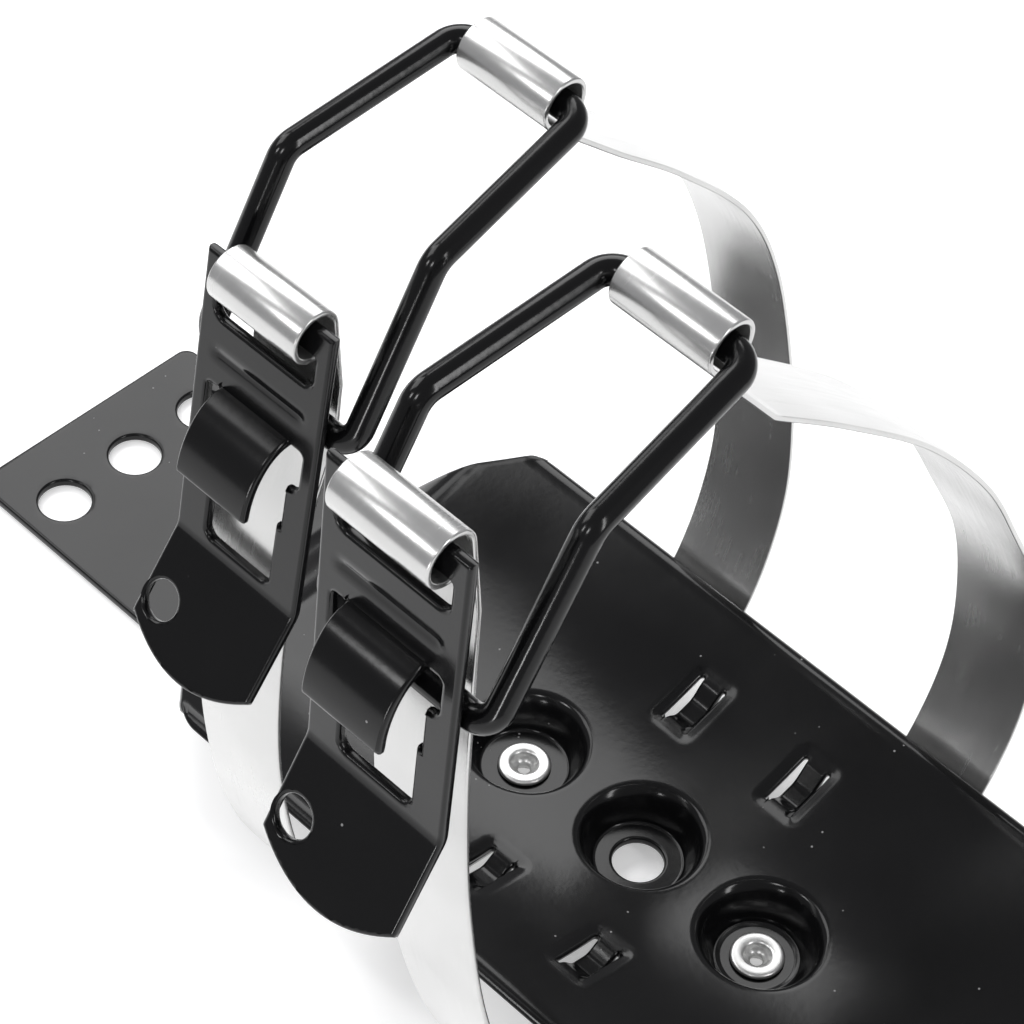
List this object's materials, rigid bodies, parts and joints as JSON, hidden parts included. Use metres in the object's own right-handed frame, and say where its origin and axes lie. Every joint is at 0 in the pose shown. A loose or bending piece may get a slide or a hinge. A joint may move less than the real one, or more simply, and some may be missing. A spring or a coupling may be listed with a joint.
{
  "type": "fire extinguisher bracket",
  "caption": "Pressed cradle plate with riveted steel straps, each closed by a toggle lever and a bent wire bail, to hold a cylinder against a wall or floor.",
  "frame": {"origin": "on the back face of the left end tab, halfway across the plate and 16.5 mm in from its row of bolt holes", "axes": "+X along the plate, +Y across it away from the levers, +Z out of the mounting face"},
  "size_m": [0.337, 0.1841, 0.2236],
  "materials": {
    "black_paint": "gloss",
    "bright_steel": "polished",
    "rivet_steel": "satin"
  },
  "bodies": {
    "root": {"backplate": "black_paint", "strap_1": "bright_steel", "strap_2": "bright_steel", "rivet_1": "rivet_steel", "rivet_2": "rivet_steel"},
    "lever_1": {"lever_1": "black_paint"},
    "lever_2": {"lever_2": "black_paint"},
    "bail_1": {"bail_1": "black_paint"},
    "bail_2": {"bail_2": "black_paint"}
  },
  "joints": [
    {"name": "lever_1_hinge", "type": "hinge", "parent": "root", "child": "lever_1", "pos_m": [0.103, -0.0716, 0.1858], "axis": [-1, 0, 0], "range_deg": [0, 150]},
    {"name": "bail_1_hinge", "type": "hinge", "parent": "root", "child": "bail_1", "pos_m": [0.103, -0.0179, 0.2018], "axis": [-1, 0, 0], "range_deg": [0, 25.5]},
    {"name": "lever_2_hinge", "type": "hinge", "parent": "root", "child": "lever_2", "pos_m": [0.167, -0.1073, 0.2162], "axis": [-1, 0, 0], "range_deg": [0, 150]},
    {"name": "bail_2_hinge", "type": "hinge", "parent": "root", "child": "bail_2", "pos_m": [0.167, -0.0514, 0.2187], "axis": [-1, 0, 0], "range_deg": [0, 25.5]}
  ],
  "couplings": [
    {"joint": "bail_1_hinge", "follows": "lever_1_hinge", "ratio": 0.17},
    {"joint": "bail_2_hinge", "follows": "lever_2_hinge", "ratio": 0.17}
  ]
}
